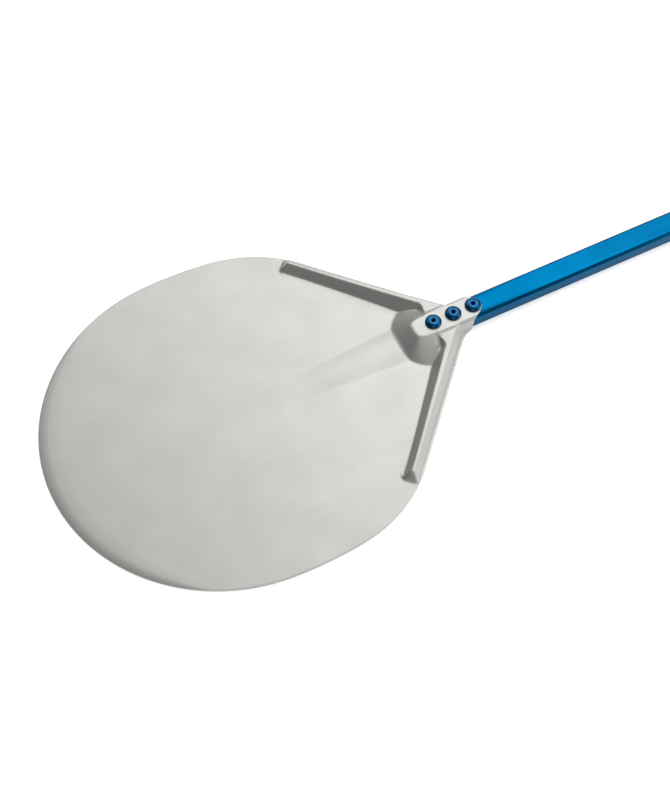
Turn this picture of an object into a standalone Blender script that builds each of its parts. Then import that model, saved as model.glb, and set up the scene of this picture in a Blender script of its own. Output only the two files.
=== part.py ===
"""Pizza peel: a pressed aluminium blade riveted to an extruded tube handle.

Frame: the origin is the centre of the round front of the blade, on its underside.
+X runs along the handle, +Y across the blade, +Z up. The underside of the blade and
the underside of the tube both lie on z = 0. Lengths are in metres.
"""

import math

import bmesh
import bpy
from mathutils import Matrix, Vector

# Blade, seen from above. The outline is a chain of arcs that run into each other.
SHEET = 0.0015
FRONT_RADIUS = 0.180
CHEEK_RADIUS = 0.377
CORNER_RADIUS = 0.142
FRONT_ARC_END = math.radians(85.9)
CHEEK_ARC_END = math.radians(97.1)
CORNER_ARC_END = math.radians(137.5)
NECK_HALF_WIDTH = 0.0158
NECK_FILLET = 0.024

# Ground bevel along the leading edge.
BEVEL_WIDTH = 0.0107
BEVEL_DROP = 0.0009
BEVEL_SPREAD = math.radians(62)

# Raised neck that wraps over the tube. Its skirt is an ellipse round SKIRT_CENTRE.
NECK_RISE = 0.0153
NECK_TOP_FRONT = 0.2045
NECK_TOE = 0.1850
NECK_TOP_HALF = 0.0105
NECK_CREST = 0.0060
NECK_SIDE_CREST = 0.0043
NECK_FOOT = 0.0050
CHANNEL_FOOT = 0.0020
TOP_SQUARENESS = 4
SKIRT_CENTRE = 0.2180
SKIRT_HALF = 0.0385
SKIRT_TAPER = 2.2
CHANNEL_START = 0.2620
CHANNEL_TOP_HALF = 0.0144
CHANNEL_FOOT_HALF = 0.0160
NECK_END = 0.2790
NOSE_CURVE = 68.0
NOSE_START = 0.2350

# Ribs along the two shoulders. They grow towards the neck, where a web joins them to it.
RIB_START = -0.0215
RIB_LENGTH = 0.1390
RIB_END = 0.1560
RIB_RISE = 0.0086
RIB_GROWTH = 0.0050
RIB_OUTER_EDGE = 0.0078
RIB_OUTER_RUN = 0.0056
RIB_OUTER_CREST = 0.0030
RIB_OUTER_FOOT = 0.0020
RIB_INNER_EDGE = 0.0108
RIB_INNER_SHIFT = 0.0031
RIB_INNER_RUN = 0.0072
RIB_INNER_SPREAD = 0.0035
RIB_INNER_ROUND = 0.0022
RIB_END_EDGE = 0.0080
RIB_END_RUN = 0.0070
RIB_BURIED_RUN = 0.0100
RIB_END_ROUND = 0.0030
RIB_TOP_BLEND = 0.0015
WEB_START = 0.92
WEB_END = 1.10
WEB_REACH = 0.0250

# Low arched ridge in the middle of the blade.
RIDGE_TIP = 0.030
RIDGE_RISE = 0.0026
RIDGE_TIP_HALF = 0.0120
RIDGE_HALF = 0.0205
RIDGE_SOFTNESS = 1.2

# Rounds where the pressed forms run into each other.
NECK_BLEND = 0.0030
RIDGE_BLEND = 0.0020

# Tube handle.
TUBE_WIDTH = 0.0260
TUBE_HEIGHT = 0.0150
TUBE_WALL = 0.0014
TUBE_TOP_ROUND = 0.0038
TUBE_FOOT_ROUND = 0.0010
TUBE_LEAST_ROUND = 0.0005
TUBE_START = 0.2120
TUBE_END = 0.8350

# End cap.
CAP_END = 0.8700
TONGUE_LENGTH = 0.0350
HANG_HOLE_RADIUS = 0.0050

CAP_ROUND = 0.0028
TAIL_ROOM_TOP = 0.0110

# Rivets.
RIVET_FIRST = 0.2260
RIVET_PITCH = 0.0222
RIVET_HEAD_RADIUS = 0.00825
RIVET_HEAD_RISE = 0.0037
HEAD_RIM = 0.0006
HEAD_RIM_INSET = 0.0003
BORE_LIP = 0.0012
BORE_LIP_DROP = 0.0004
SHANK_RADIUS = 0.0024
SHANK_HOLE = 0.0027
BORE_RADIUS = 0.00155
TAIL_RADIUS = 0.0036
TAIL_LENGTH = 0.0045
STEM_RADIUS = 0.00125
STEM_DROP = 0.0005
STEM_HEAD_RADIUS = 0.00205
STEM_HEAD_SIDE = 0.0008
STEM_HEAD_HEIGHT = 0.0016
CHAMFER = 0.0004
CAP_RIVET_X = 0.8150
CAP_RIVET_HEAD_RADIUS = 0.00475
CAP_RIVET_HEAD_RISE = 0.0015

# Clearance between pieces, and heights that cutters reach from and to.
GAP = 0.0003
CUT_LOW = -0.0100
CUT_MIDDLE = 0.0080
CUT_HIGH = 0.0300
OVERRUN = 0.0020
WELD = 0.000005

# Mesh density.
HALF_COLUMNS = 20
BEND_WEIGHT = 0.012
ROW_SAMPLES = 240
ROUND_STEPS = 20
HEAD_STEPS = 6
CORNER_STEPS = 6
CAP_ROUND_STEPS = 3
CAP_ARC_STEPS = 16


def clear_scene():
    """Remove every object that a new file starts with."""
    for item in list(bpy.data.objects):
        bpy.data.objects.remove(item, do_unlink=True)


def make_material(name, colour, roughness, metallic):
    """Return a Principled material of one colour."""
    material = bpy.data.materials.new(name)
    material.use_nodes = True
    shader = material.node_tree.nodes["Principled BSDF"]
    shader.inputs["Base Color"].default_value = (*colour, 1.0)
    shader.inputs["Roughness"].default_value = roughness
    shader.inputs["Metallic"].default_value = metallic
    return material


def add_object(name, mesh_builder, material, smooth_angle=35):
    """Turn a bmesh into a named object with one material and smooth round faces."""
    mesh = bpy.data.meshes.new(name)
    bmesh.ops.recalc_face_normals(mesh_builder, faces=mesh_builder.faces)
    if mesh_builder.calc_volume(signed=True) < 0:
        bmesh.ops.reverse_faces(mesh_builder, faces=mesh_builder.faces)
    mesh_builder.to_mesh(mesh)
    mesh_builder.free()
    mesh.shade_smooth()
    mesh.set_sharp_from_angle(angle=math.radians(smooth_angle))
    mesh.materials.append(material)
    item = bpy.data.objects.new(name, mesh)
    bpy.context.scene.collection.objects.link(item)
    return item


def add_guide(name, mesh_builder):
    """Turn a bmesh into a hidden solid that only shapes other objects."""
    bmesh.ops.recalc_face_normals(mesh_builder, faces=mesh_builder.faces)
    mesh = bpy.data.meshes.new(name)
    mesh_builder.to_mesh(mesh)
    mesh_builder.free()
    item = bpy.data.objects.new(name, mesh)
    bpy.context.scene.collection.objects.link(item)
    item.hide_render = True
    item.display_type = "WIRE"
    return item


def add_cutter(name, radius, low, high, x):
    """Return a hidden upright cylinder on the axis that cuts a round hole."""
    builder = bmesh.new()
    place = Matrix.Translation((x, 0, (low + high) / 2))
    bmesh.ops.create_cone(
        builder, cap_ends=True, segments=ROUND_STEPS, radius1=radius, radius2=radius,
        depth=high - low, matrix=place,
    )
    return add_guide(name, builder)


def pull(builder, vector):
    """Pull the faces of a bmesh along a vector into a solid."""
    pulled = bmesh.ops.extrude_face_region(builder, geom=builder.faces[:], use_keep_orig=True)
    moved = [item for item in pulled["geom"] if isinstance(item, bmesh.types.BMVert)]
    bmesh.ops.translate(builder, verts=moved, vec=vector)


def combine(item, guide, operation="DIFFERENCE"):
    """Change one object by another with an exact Boolean."""
    change = item.modifiers.new(guide.name, "BOOLEAN")
    change.operation = operation
    change.solver = "EXACT"
    change.object = guide


# --- blade outline -----------------------------------------------------------


def heading(angle):
    """Unit vector at an angle measured from the front of the blade."""
    return Vector((-math.cos(angle), math.sin(angle)))


CHEEK_CENTRE = (FRONT_RADIUS - CHEEK_RADIUS) * heading(FRONT_ARC_END)
CORNER_CENTRE = CHEEK_CENTRE + (CHEEK_RADIUS - CORNER_RADIUS) * heading(CHEEK_ARC_END)
SHOULDER = CORNER_CENTRE + CORNER_RADIUS * heading(CORNER_ARC_END)
ALONG = Vector((math.sin(CORNER_ARC_END), math.cos(CORNER_ARC_END)))
INWARD = Vector((ALONG.y, -ALONG.x))
SHOULDER_SLOPE = -ALONG.y / ALONG.x
FILLET_CORNER = SHOULDER.x + (SHOULDER.y - NECK_HALF_WIDTH) / SHOULDER_SLOPE
FILLET_REACH = NECK_FILLET * math.tan(math.atan(SHOULDER_SLOPE) / 2)


def arc_height(x, centre, radius):
    """Upper half of a circle at x."""
    return centre.y + math.sqrt(max(radius ** 2 - (x - centre.x) ** 2, 0.0))


def half_width(x):
    """Distance from the axis to the blade's edge at x."""
    if x <= FRONT_RADIUS * heading(FRONT_ARC_END).x:
        return arc_height(x, Vector((0, 0)), FRONT_RADIUS)
    if x <= (CHEEK_CENTRE + CHEEK_RADIUS * heading(CHEEK_ARC_END)).x:
        return arc_height(x, CHEEK_CENTRE, CHEEK_RADIUS)
    if x <= SHOULDER.x:
        return arc_height(x, CORNER_CENTRE, CORNER_RADIUS)
    if x <= FILLET_CORNER + FILLET_REACH * INWARD.y:
        return SHOULDER.y - (x - SHOULDER.x) * SHOULDER_SLOPE
    fillet_end = FILLET_CORNER + FILLET_REACH
    if x >= fillet_end:
        return NECK_HALF_WIDTH
    drop = math.sqrt(NECK_FILLET ** 2 - (fillet_end - x) ** 2)
    return NECK_HALF_WIDTH + NECK_FILLET - drop


# --- blade surface -----------------------------------------------------------


def flank(outward, rise, run, crest, foot):
    """Height of a pressed wall at a distance outward of its top corner.

    The wall drops by rise over run, with a round of radius crest at the top and of
    radius foot at the bottom.
    """
    angle = math.atan2(rise, run)
    crest_reach = crest * math.tan(angle / 2)
    foot_reach = foot * math.tan(angle / 2)
    if outward <= -crest_reach:
        return rise
    if outward <= crest_reach * math.cos(angle):
        return rise - crest + math.sqrt(crest ** 2 - (outward + crest_reach) ** 2)
    if outward <= run - foot_reach * math.cos(angle):
        return rise * (run - outward) / run
    if outward < run + foot_reach:
        return foot - math.sqrt(foot ** 2 - (run + foot_reach - outward) ** 2)
    return 0.0


def ease(low, high, value):
    """Smooth step from 0 at low to 1 at high."""
    part = min(max((value - low) / (high - low), 0.0), 1.0)
    return part * part * (3 - 2 * part)


def blend_up(first, second, radius):
    """Higher of two heights above the plate, with a round where they meet."""
    tall = max(first, second)
    reach = min(radius, tall)
    if reach <= 0.0:
        return tall
    overlap = max(reach - abs(first - second), 0.0) / reach
    return tall + overlap ** 2 * reach / 4


def blend_down(first, second, radius, rise):
    """Lower of two heights that both reach rise, with a round where they meet."""
    return rise - blend_up(rise - first, rise - second, radius)


def rib_height(x, y):
    """Height of the shoulder rib above the plate."""
    offset = Vector((x, y)) - SHOULDER
    along = offset.dot(ALONG)
    inset = offset.dot(INWARD)
    part = min(max(along / RIB_LENGTH, 0.0), 1.2)
    rise = RIB_RISE + RIB_GROWTH * part ** 1.5
    inner_edge = RIB_INNER_EDGE + RIB_INNER_SHIFT * part + WEB_REACH * ease(WEB_START, WEB_END, part)
    inner_run = RIB_INNER_RUN + RIB_INNER_SPREAD * part ** 2
    inner = flank(inset - inner_edge, rise, inner_run, RIB_INNER_ROUND, RIB_INNER_ROUND)
    outer = flank(RIB_OUTER_EDGE - inset, rise, RIB_OUTER_RUN, RIB_OUTER_CREST, RIB_OUTER_FOOT)
    start = RIB_START + RIB_END_EDGE
    end = flank(start - along, rise, RIB_END_RUN, RIB_END_ROUND, RIB_END_ROUND)
    buried_end = flank(along - RIB_END, rise, RIB_BURIED_RUN, RIB_END_ROUND, RIB_END_ROUND)
    wall = blend_down(inner, outer, RIB_TOP_BLEND, rise)
    return blend_down(wall, min(end, buried_end), RIB_END_ROUND, rise)


def skirt_height(x, y, top_half, foot_round):
    """Height of the neck ahead of the skirt's centre, where the wall fans out all round."""
    offset = Vector((SKIRT_CENTRE - x, y))
    reach = offset.length
    ahead, aside = offset / reach
    top_ahead = SKIRT_CENTRE - NECK_TOP_FRONT
    top_sum = (ahead / top_ahead) ** TOP_SQUARENESS + (aside / top_half) ** TOP_SQUARENESS
    top = top_sum ** (-1 / TOP_SQUARENESS)
    foot = 1 / math.hypot(ahead / (SKIRT_CENTRE - NECK_TOE), aside / SKIRT_HALF)
    return flank(reach - top, NECK_RISE, foot - top, NECK_CREST, foot_round)


def neck_height(x, y):
    """Height of the raised neck above the plate."""
    part = ease(NECK_TOP_FRONT, CHANNEL_START, x)
    top_half = NECK_TOP_HALF + (CHANNEL_TOP_HALF - NECK_TOP_HALF) * part
    foot_round = NECK_FOOT + (CHANNEL_FOOT - NECK_FOOT) * part
    if x < SKIRT_CENTRE:
        return skirt_height(x, y, top_half, foot_round)
    taper = max((CHANNEL_START - x) / (CHANNEL_START - SKIRT_CENTRE), 0.0)
    foot_half = CHANNEL_FOOT_HALF + (SKIRT_HALF - CHANNEL_FOOT_HALF) * taper ** SKIRT_TAPER
    return flank(y - top_half, NECK_RISE, foot_half - top_half, NECK_SIDE_CREST, foot_round)


def ridge_height(x, y):
    """Height of the arched middle ridge above the plate."""
    part = (x - RIDGE_TIP) / (NECK_TOE - RIDGE_TIP)
    if part <= 0.0:
        return 0.0
    part = min(part, 1.2)
    across = min(y / (RIDGE_TIP_HALF + (RIDGE_HALF - RIDGE_TIP_HALF) * part), 1.0)
    return RIDGE_RISE * part * (1 - across ** 2) ** RIDGE_SOFTNESS


def blade_top(x, y):
    """Height of the blade's upper face, without the ground bevel."""
    side = abs(y)
    raised = blend_up(neck_height(x, side), rib_height(x, side), NECK_BLEND)
    return SHEET + min(blend_up(raised, ridge_height(x, side), RIDGE_BLEND), NECK_RISE)


def surface_normal(x, y):
    """Unit normal of the blade's upper face."""
    step = 0.00005
    slope_x = (blade_top(x + step, y) - blade_top(x - step, y)) / (2 * step)
    slope_y = (blade_top(x, y + step) - blade_top(x, y - step)) / (2 * step)
    return Vector((-slope_x, -slope_y, 1)).normalized()


# --- blade mesh --------------------------------------------------------------


def spaced(first, last, count):
    """Evenly spaced values from first up to, but without, last."""
    return [first + (last - first) * step / count for step in range(count)]


TIP_X = FRONT_RADIUS * heading(BEVEL_SPREAD).x
FLAT_X = 0.020
FRONT_ROWS = spaced(TIP_X, FLAT_X, 4)
STRAIGHT_ROWS = (
    spaced(FLAT_X, 0.110, 4) + spaced(0.110, 0.130, 4) + spaced(0.130, 0.180, 7)
    + spaced(0.180, 0.212, 10) + spaced(0.212, 0.250, 8) + spaced(0.250, NECK_END, 6) + [NECK_END]
)


def bevel_width(angle):
    """Width of the ground bevel at an angle from the front of the blade."""
    return BEVEL_WIDTH * (1 - (angle / BEVEL_SPREAD) ** 4)


def front_row(edge_x, part_across):
    """Plan point on a row that starts as the bevel's inner line and straightens out."""
    part = (edge_x - TIP_X) / (FLAT_X - TIP_X)
    angle = part_across * BEVEL_SPREAD
    curved = (FRONT_RADIUS - bevel_width(angle)) * heading(angle)
    tip_y = FRONT_RADIUS * heading(BEVEL_SPREAD).y
    straight_y = part_across * half_width(FLAT_X)
    x = curved.x + (FLAT_X - curved.x) * part
    stretch = half_width(edge_x) / (tip_y + (half_width(FLAT_X) - tip_y) * part)
    return x, (curved.y + (straight_y - curved.y) * part) * stretch


def nosed(row_x, y):
    """X of a straight row at y, bent round the last rivet towards the neck's end."""
    return row_x - NOSE_CURVE * min(y, NECK_HALF_WIDTH) ** 2 * ease(NOSE_START, NECK_END, row_x)


def straight_row(row_x, columns):
    """Plan points of one row, closest together where the sheet bends most."""
    edge_y = half_width(row_x)
    for _ in range(4):
        edge_y = half_width(nosed(row_x, edge_y))
    line = []
    for step in range(ROW_SAMPLES + 1):
        y = edge_y * step / ROW_SAMPLES
        line.append(Vector((nosed(row_x, y), y, blade_top(nosed(row_x, y), y))))
    travelled = [0.0]
    last_tilt = 0.0
    for before, after in zip(line, line[1:]):
        tilt = math.atan2(after.z - before.z, after.y - before.y)
        travelled.append(travelled[-1] + (after - before).length + BEND_WEIGHT * abs(tilt - last_tilt))
        last_tilt = tilt
    points = []
    index = 0
    for column in range(columns + 1):
        goal = travelled[-1] * column / columns
        while index < ROW_SAMPLES - 1 and travelled[index + 1] < goal:
            index += 1
        part = (goal - travelled[index]) / (travelled[index + 1] - travelled[index])
        y = edge_y * (index + min(part, 1.0)) / ROW_SAMPLES
        points.append((nosed(row_x, y), y))
    return points


def plan_rows(columns):
    """Rows of plan points for one half of the blade, from the front edge to the neck's end."""
    rows = []
    edge = []
    for column in range(columns + 1):
        point = FRONT_RADIUS * heading(BEVEL_SPREAD * column / columns)
        edge.append((point.x, point.y))
    rows.append(edge)
    for edge_x in FRONT_ROWS:
        rows.append([front_row(edge_x, column / columns) for column in range(columns + 1)])
    for row_x in STRAIGHT_ROWS:
        rows.append(straight_row(row_x, columns))
    return rows


def build_blade(material):
    """Pressed sheet: a grid laid over half the plan, raised, mirrored and thickened."""
    rows = plan_rows(HALF_COLUMNS)
    builder = bmesh.new()
    bmesh.ops.create_grid(builder, x_segments=len(rows) - 1, y_segments=HALF_COLUMNS, size=1)
    for vertex in builder.verts:
        row = round((vertex.co.x + 1) / 2 * (len(rows) - 1))
        column = round((vertex.co.y + 1) / 2 * HALF_COLUMNS)
        x, y = rows[row][column]
        vertex.co = (x, y, blade_top(x, y))
    bmesh.ops.mirror(builder, geom=builder.verts[:] + builder.edges[:] + builder.faces[:],
                     axis="Y", merge_dist=WELD)
    bmesh.ops.remove_doubles(builder, verts=builder.verts, dist=WELD)
    bmesh.ops.recalc_face_normals(builder, faces=builder.faces)
    if sum(face.normal.z for face in builder.faces) < 0:
        bmesh.ops.reverse_faces(builder, faces=builder.faces)
    doubled = bmesh.ops.extrude_face_region(builder, geom=builder.faces[:], use_keep_orig=True)
    for item in doubled["geom"]:
        if isinstance(item, bmesh.types.BMVert):
            item.co -= SHEET * surface_normal(item.co.x, item.co.y)
    for vertex in builder.verts:
        reach = math.hypot(vertex.co.x, vertex.co.y)
        on_front = vertex.co.x < TIP_X + 0.0001 and reach > FRONT_RADIUS - 0.00001
        if on_front and vertex.co.z > SHEET / 2:
            angle = math.atan2(abs(vertex.co.y), -vertex.co.x)
            vertex.co.z -= BEVEL_DROP * bevel_width(angle) / BEVEL_WIDTH
    return add_object("blade", builder, material)


# --- tube handle -------------------------------------------------------------


def tube_section(inset):
    """Points (y, z) of the tube's section, moved inwards by inset, counter-clockwise."""
    points = []
    for number in range(4):
        at_top = number < 2
        side = 1 if number in (0, 3) else -1
        radius = max((TUBE_TOP_ROUND if at_top else TUBE_FOOT_ROUND) - inset, TUBE_LEAST_ROUND)
        centre_y = side * (TUBE_WIDTH / 2 - inset - radius)
        centre_z = TUBE_HEIGHT - inset - radius if at_top else inset + radius
        for step in range(CORNER_STEPS + 1):
            turn = math.pi / 2 * (number + step / CORNER_STEPS)
            points.append((centre_y + radius * math.cos(turn), centre_z + radius * math.sin(turn)))
    return points


def add_ring(builder, points, x):
    """Add a closed loop of vertices at one x and return its edges."""
    corners = [builder.verts.new((x, y, z)) for y, z in points]
    return [builder.edges.new((a, b)) for a, b in zip(corners, corners[1:] + corners[:1])]


def build_tube(material):
    """Hollow extrusion: an annular end face pulled along X."""
    builder = bmesh.new()
    outer = add_ring(builder, tube_section(0.0), TUBE_START)
    inner = add_ring(builder, tube_section(TUBE_WALL), TUBE_START)
    bmesh.ops.bridge_loops(builder, edges=outer + inner)
    pull(builder, (TUBE_END - TUBE_START, 0, 0))
    return add_object("handle_tube", builder, material)


# --- rivets ------------------------------------------------------------------


def turn_profile(name, profile, place, material):
    """Spin a closed (radius, height) profile round an upright axis at place."""
    builder = bmesh.new()
    corners = [builder.verts.new((radius, 0, height)) for radius, height in profile]
    edges = [builder.edges.new((a, b)) for a, b in zip(corners, corners[1:] + corners[:1])]
    bmesh.ops.spin(
        builder, geom=corners + edges, cent=(0, 0, 0), axis=(0, 0, 1), dvec=(0, 0, 0),
        angle=2 * math.pi, steps=ROUND_STEPS, use_merge=True, use_duplicate=False,
    )
    bmesh.ops.remove_doubles(builder, verts=builder.verts, dist=WELD)
    bmesh.ops.dissolve_degenerate(builder, edges=builder.edges, dist=WELD / 5)
    item = add_object(name, builder, material)
    item.location = place
    return item


def rivet_profile(head_radius, head_rise, grip):
    """Section of a set blind rivet whose head sits on height 0 and grips sheets below it."""
    crown = BORE_RADIUS + BORE_LIP
    foot = -grip - TAIL_LENGTH
    profile = [(BORE_RADIUS, head_rise - BORE_LIP_DROP), (crown, head_rise)]
    for step in range(1, HEAD_STEPS + 1):
        turn = math.pi / 2 * step / HEAD_STEPS
        wide = crown + (head_radius - crown) * math.sin(turn)
        profile.append((wide, HEAD_RIM + (head_rise - HEAD_RIM) * math.cos(turn)))
    profile += [(head_radius - HEAD_RIM_INSET, 0.0), (SHANK_RADIUS, 0.0), (SHANK_RADIUS, -grip)]
    for step in range(1, HEAD_STEPS):
        part = step / HEAD_STEPS
        bulge = SHANK_RADIUS + (TAIL_RADIUS - SHANK_RADIUS) * math.sin(math.pi * part) ** 0.5
        profile.append((bulge, -grip - TAIL_LENGTH * part))
    return profile + [(SHANK_RADIUS, foot), (BORE_RADIUS, foot)]


def stem_profile(grip):
    """Section of the mandrel left in a set rivet: broken stem above, round head below."""
    seat = -grip - TAIL_LENGTH - GAP
    return [
        (0.0, -STEM_DROP), (STEM_RADIUS, -STEM_DROP - CHAMFER), (STEM_RADIUS, seat),
        (STEM_HEAD_RADIUS, seat), (STEM_HEAD_RADIUS, seat - STEM_HEAD_SIDE),
        (STEM_RADIUS, seat - STEM_HEAD_HEIGHT + CHAMFER / 2), (0.0, seat - STEM_HEAD_HEIGHT),
    ]


def add_rivet(name, stem_name, place, head, grip, materials):
    """Set one blind rivet with its left-over stem."""
    turn_profile(name, rivet_profile(head[0], head[1], grip), place, materials[0])
    turn_profile(stem_name, stem_profile(grip), place, materials[1])


# --- end cap -----------------------------------------------------------------


def build_cap(material):
    """Polymer plug: a round-ended block that closes the tube."""
    builder = bmesh.new()
    half = TUBE_WIDTH / 2
    start = TUBE_END + GAP
    centre_x = CAP_END - half
    outline = [(start, -half), (centre_x, -half)]
    for step in range(1, CAP_ARC_STEPS):
        turn = -math.pi / 2 + math.pi * step / CAP_ARC_STEPS
        outline.append((centre_x + half * math.cos(turn), half * math.sin(turn)))
    outline += [(centre_x, half), (start, half)]
    builder.faces.new([builder.verts.new((x, y, 0)) for x, y in outline])
    pull(builder, (0, 0, TUBE_HEIGHT))
    rounded = [edge for edge in builder.edges
               if abs(edge.verts[0].co.z - edge.verts[1].co.z) < WELD
               and max(vertex.co.x for vertex in edge.verts) > start + WELD]
    bmesh.ops.bevel(builder, geom=rounded, offset=CAP_ROUND, offset_type="OFFSET",
                    segments=CAP_ROUND_STEPS, profile=0.5, affect="EDGES", material=-1)
    return add_object("end_cap", builder, material)


def build_tongue():
    """Hidden guide solid for the tongue that fits inside the tube."""
    builder = bmesh.new()
    x = TUBE_END - TONGUE_LENGTH
    builder.faces.new([builder.verts.new((x, y, z)) for y, z in tube_section(TUBE_WALL + GAP)])
    pull(builder, (TONGUE_LENGTH + OVERRUN, 0, 0))
    return add_guide("tongue_guide", builder)


def build():
    """Build the whole peel."""
    clear_scene()
    satin = make_material("satin_aluminium", (0.62, 0.62, 0.60), 0.45, 1.0)
    blue = make_material("blue_anodised", (0.005, 0.20, 0.52), 0.35, 0.7)
    rivet_blue = make_material("blue_rivet", (0.005, 0.11, 0.33), 0.30, 0.7)
    steel = make_material("rivet_steel", (0.30, 0.30, 0.31), 0.40, 1.0)
    polymer = make_material("dark_polymer", (0.010, 0.03, 0.07), 0.55, 0.0)

    blade = build_blade(satin)
    tube = build_tube(blue)
    cap = build_cap(polymer)
    combine(cap, build_tongue(), "UNION")
    hang_x = CAP_END - TUBE_WIDTH / 2
    combine(cap, add_cutter("hang_hole", HANG_HOLE_RADIUS, CUT_LOW, CUT_HIGH, hang_x))

    top = SHEET + NECK_RISE
    neck_grip = top - TUBE_HEIGHT + TUBE_WALL + 2 * GAP
    for number in range(3):
        x = RIVET_FIRST + number * RIVET_PITCH
        hole = add_cutter(f"neck_hole_{number + 1}", SHANK_HOLE, CUT_MIDDLE, CUT_HIGH, x)
        combine(blade, hole)
        combine(tube, hole)
        add_rivet(
            f"neck_rivet_{number + 1}", f"rivet_stem_{number + 1}", (x, 0, top + GAP),
            (RIVET_HEAD_RADIUS, RIVET_HEAD_RISE), neck_grip, (rivet_blue, steel),
        )
    cap_hole = add_cutter("cap_hole", SHANK_HOLE, CUT_MIDDLE, CUT_HIGH, CAP_RIVET_X)
    combine(tube, cap_hole)
    combine(cap, cap_hole)
    combine(cap, add_cutter("tail_room", TAIL_RADIUS + GAP, CUT_LOW, TAIL_ROOM_TOP, CAP_RIVET_X))
    cap_grip = TUBE_HEIGHT - TAIL_ROOM_TOP + 2 * GAP
    add_rivet(
        "cap_rivet", "cap_rivet_stem", (CAP_RIVET_X, 0, TUBE_HEIGHT + GAP),
        (CAP_RIVET_HEAD_RADIUS, CAP_RIVET_HEAD_RISE), cap_grip, (rivet_blue, steel),
    )


build()
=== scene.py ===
"""Looks of a round pizza peel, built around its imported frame.

The peel is a pressed, satin anodised aluminium blade with a ground front bevel, riveted
over the end of a blue anodised tube. A polymer cap with a hanging hole closes the tube.
All lengths are in metres, in the frame's own axes: +X along the handle, +Z up.
"""

import logging
import math
from collections.abc import Callable
from dataclasses import dataclass, field
from enum import Enum

import bmesh
import bpy
from mathutils import Matrix, Vector


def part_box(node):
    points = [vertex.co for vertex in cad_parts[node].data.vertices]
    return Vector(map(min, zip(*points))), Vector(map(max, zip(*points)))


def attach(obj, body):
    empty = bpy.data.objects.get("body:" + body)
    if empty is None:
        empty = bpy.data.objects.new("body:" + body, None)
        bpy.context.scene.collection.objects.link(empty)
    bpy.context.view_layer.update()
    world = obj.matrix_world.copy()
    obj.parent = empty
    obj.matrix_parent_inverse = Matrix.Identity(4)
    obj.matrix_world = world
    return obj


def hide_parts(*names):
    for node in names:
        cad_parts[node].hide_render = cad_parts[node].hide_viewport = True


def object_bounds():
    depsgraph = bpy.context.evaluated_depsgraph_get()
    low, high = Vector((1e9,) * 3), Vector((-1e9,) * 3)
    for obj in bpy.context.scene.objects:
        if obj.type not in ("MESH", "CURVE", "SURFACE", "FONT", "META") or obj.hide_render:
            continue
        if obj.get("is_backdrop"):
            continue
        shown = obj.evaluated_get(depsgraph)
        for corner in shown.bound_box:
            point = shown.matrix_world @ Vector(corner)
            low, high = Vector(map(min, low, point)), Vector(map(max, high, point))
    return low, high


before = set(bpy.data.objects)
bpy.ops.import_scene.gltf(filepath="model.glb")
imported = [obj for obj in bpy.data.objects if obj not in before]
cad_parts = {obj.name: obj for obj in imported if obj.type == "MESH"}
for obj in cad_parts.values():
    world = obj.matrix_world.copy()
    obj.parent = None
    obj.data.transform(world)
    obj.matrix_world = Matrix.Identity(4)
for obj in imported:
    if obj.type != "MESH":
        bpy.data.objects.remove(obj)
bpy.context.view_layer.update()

LOG = logging.getLogger("peel")
BODY = "root"
WELD = 0.000005
GAP = 0.0003
PIN_LOW = 0.008
PIN_HIGH = 0.025
PAST = 0.002
ROUND_SIDES = 64
Point = tuple[float, float]
Colour = tuple[float, float, float]


# --- small shared tools --------------------------------------------------------------


def ease(low: float, high: float, value: float) -> float:
    """Smooth step that grows from 0 at low to 1 at high, read at value."""
    part = min(max((value - low) / (high - low), 0.0), 1.0)
    return part * part * (3 - 2 * part)


def spaced(first: float, last: float, count: int) -> list[float]:
    """Evenly spaced values from first up to, but without, last."""
    return [first + (last - first) * step / count for step in range(count)]


def blend_up(first: float, second: float, radius: float) -> float:
    """Higher of two pressed heights, with a round where they meet.

    Args:
        first: One height above the flat sheet.
        second: The other height.
        radius: Height difference over which the round reaches.

    Returns:
        The joined height.
    """
    tall = max(first, second)
    reach = min(radius, tall)
    if reach <= 0.0:
        return tall
    overlap = max(reach - abs(first - second), 0.0) / reach
    return tall + overlap ** 2 * reach / 4


def blend_down(first: float, second: float, radius: float, rise: float) -> float:
    """Lower of two heights that share the top called rise, with a round where they meet."""
    return rise - blend_up(rise - first, rise - second, radius)


def flank(outward: float, rise: float, run: float, crest: float, foot: float) -> float:
    """Height of a pressed wall with rounded corners.

    Args:
        outward: Distance from the wall's top corner, growing down the wall.
        rise: Height of the wall.
        run: Distance between its top and bottom corners, seen from above.
        crest: Radius of the round at the top.
        foot: Radius of the round at the bottom.

    Returns:
        The height there, from rise down to 0.
    """
    angle = math.atan2(rise, run)
    crest_reach = crest * math.tan(angle / 2)
    foot_reach = foot * math.tan(angle / 2)
    if outward <= -crest_reach:
        return rise
    if outward <= crest_reach * math.cos(angle):
        return rise - crest + math.sqrt(crest ** 2 - (outward + crest_reach) ** 2)
    if outward <= run - foot_reach * math.cos(angle):
        return rise * (run - outward) / run
    if outward < run + foot_reach:
        return foot - math.sqrt(foot ** 2 - (run + foot_reach - outward) ** 2)
    return 0.0


def heading(angle: float) -> Point:
    """Unit direction at an angle from the front of the blade."""
    return -math.cos(angle), math.sin(angle)


# --- finishes ------------------------------------------------------------------------


class Grain(Enum):
    """Direction in which a finish is drawn out."""

    EVEN = (1.0, 1.0, 1.0)
    ALONG_X = (0.012, 1.0, 1.0)


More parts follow.
